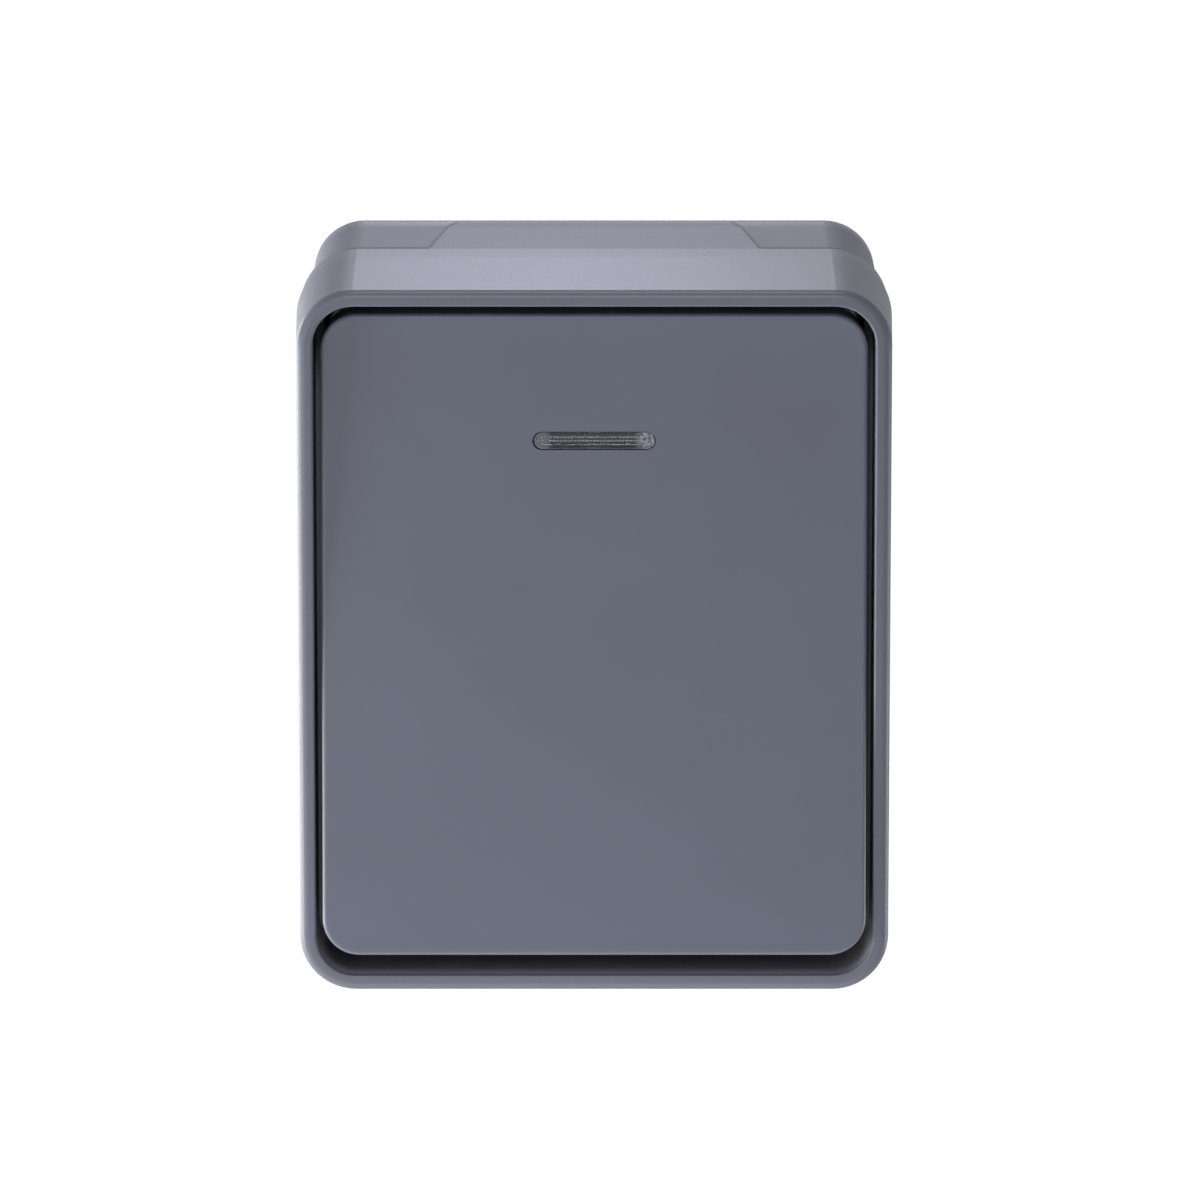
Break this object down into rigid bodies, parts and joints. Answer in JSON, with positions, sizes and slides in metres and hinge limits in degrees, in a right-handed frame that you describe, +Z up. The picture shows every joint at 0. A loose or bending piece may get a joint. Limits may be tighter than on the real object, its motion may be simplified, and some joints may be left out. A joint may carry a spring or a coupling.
{
  "type": "weatherproof rocker switch",
  "caption": "Surface-mounted weatherproof wall switch with a large tilting rocker, indicator lens, two-part grey housing and two-way contact mechanism.",
  "frame": {"origin": "centre of the flat back face that sits against the wall", "axes": "+Z up the wall along the height, -Y out of the wall towards the user, +X to the right"},
  "size_m": [0.0752, 0.0573, 0.0908],
  "materials": {
    "housing_grey": "matte",
    "rocker_grey": "matte",
    "mechanism_plastic": "matte",
    "frame_plastic": "matte",
    "seal_rubber": "matte",
    "screw_steel": "zinc plated",
    "terminal_brass": "satin",
    "bar_copper": "satin",
    "contact_silver": "satin",
    "lens_clear": "moulded pyramids",
    "lamp_glass": "clear",
    "resistor_body": "lacquered",
    "lead_insulation": "tinned"
  },
  "bodies": {
    "housing": {"rear_box": "housing_grey", "box_gasket": "seal_rubber", "front_cover": "housing_grey", "cover_screws": "screw_steel", "cover_screw_seals": "seal_rubber", "switch_body": "mechanism_plastic", "mechanism_frame": "frame_plastic", "mechanism_screws": "screw_steel", "frame_seal": "seal_rubber", "common_terminal": "terminal_brass", "upper_terminal": "terminal_brass", "lower_terminal": "terminal_brass", "fixed_contacts": "contact_silver", "terminal_pillars": "terminal_brass", "terminal_screws": "screw_steel", "lamp_holder": "frame_plastic", "indicator_lamp": "lamp_glass", "lamp_resistor": "resistor_body", "lamp_leads": "lead_insulation"},
    "rocker": {"rocker": "rocker_grey", "indicator_lens": "lens_clear", "dolly": "mechanism_plastic", "plunger_spring": "screw_steel"},
    "plunger": {"plunger": "terminal_brass"},
    "seesaw": {"contact_bar": "bar_copper", "moving_contacts": "contact_silver"}
  },
  "joints": [
    {"name": "rocker_tilt", "type": "hinge", "parent": "housing", "child": "rocker", "pos_m": [0, -0.0425, 0], "axis": [1, 0, 0], "range_deg": [0, 8]},
    {"name": "contact_tilt", "type": "hinge", "parent": "housing", "child": "seesaw", "pos_m": [0, -0.0203, 0], "axis": [1, 0, 0], "range_deg": [-15, 0]},
    {"name": "plunger_slide", "type": "slide", "parent": "rocker", "child": "plunger", "axis": [0, -0.9976, 0.0698], "range_m": [0, 0.0008], "stiffness_N_per_m": 400, "springref_m": -0.0025, "deforming": ["plunger_spring"]}
  ],
  "couplings": [
    {"joint": "contact_tilt", "follows": "rocker_tilt", "ratio": -1.875}
  ]
}
